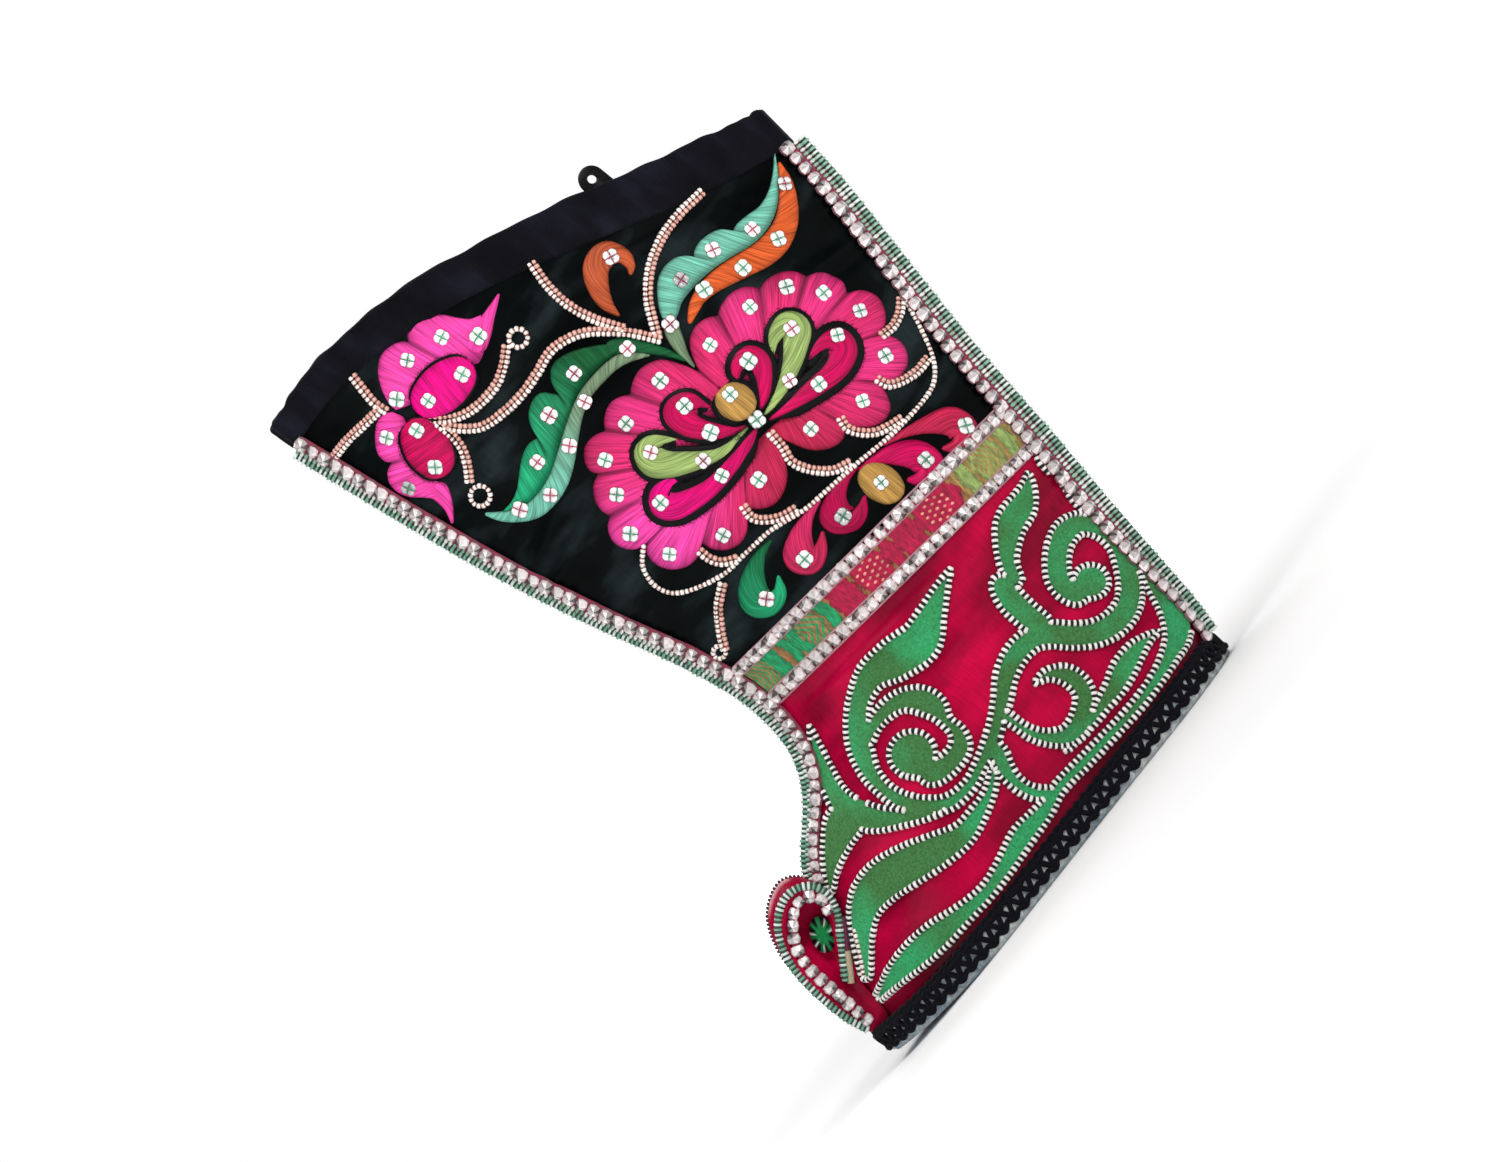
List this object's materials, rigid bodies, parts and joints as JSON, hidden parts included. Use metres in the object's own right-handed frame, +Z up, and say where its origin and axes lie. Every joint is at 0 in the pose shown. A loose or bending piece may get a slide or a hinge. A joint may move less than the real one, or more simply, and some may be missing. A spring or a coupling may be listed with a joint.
{
  "type": "embroidered boot",
  "caption": "Knee-high cloth boot with a wide embroidered shaft, a brocade ankle band, a scroll-patterned foot, a felt sole and a rolled-up toe.",
  "frame": {"origin": "on the floor under the middle of the flat tread of the sole", "axes": "+X towards the toe, +Y to the wearer's left, +Z up along the shaft"},
  "size_m": [0.3068, 0.087, 0.4172],
  "materials": {
    "felt": "fuzzy grey-white layered felt, edge overcast with black wool",
    "sock_felt": "plain felt",
    "crimson_satin": "satin with green felt scrolls and couched cord",
    "black_satin": "satin with raised silk embroidery and sequins",
    "binding_twill": "fine matt twill",
    "foil_edging": "folded metal foil braid and thread-wrapped cord",
    "brocade": "woven ribbon between foil puffs",
    "boss_thread": "wound thread",
    "tab_plastic": "smooth black"
  },
  "bodies": {
    "root": {"sole": "felt", "insole": "sock_felt", "upper": "crimson_satin", "shaft": "black_satin", "collar_binding": "binding_twill", "front_edging": "foil_edging", "back_edging": "foil_edging", "ankle_band_left": "brocade", "ankle_band_right": "brocade", "toe_scroll": "crimson_satin", "toe_boss_left": "boss_thread", "toe_boss_right": "boss_thread", "pull_loop": "tab_plastic"}
  },
  "joints": []
}
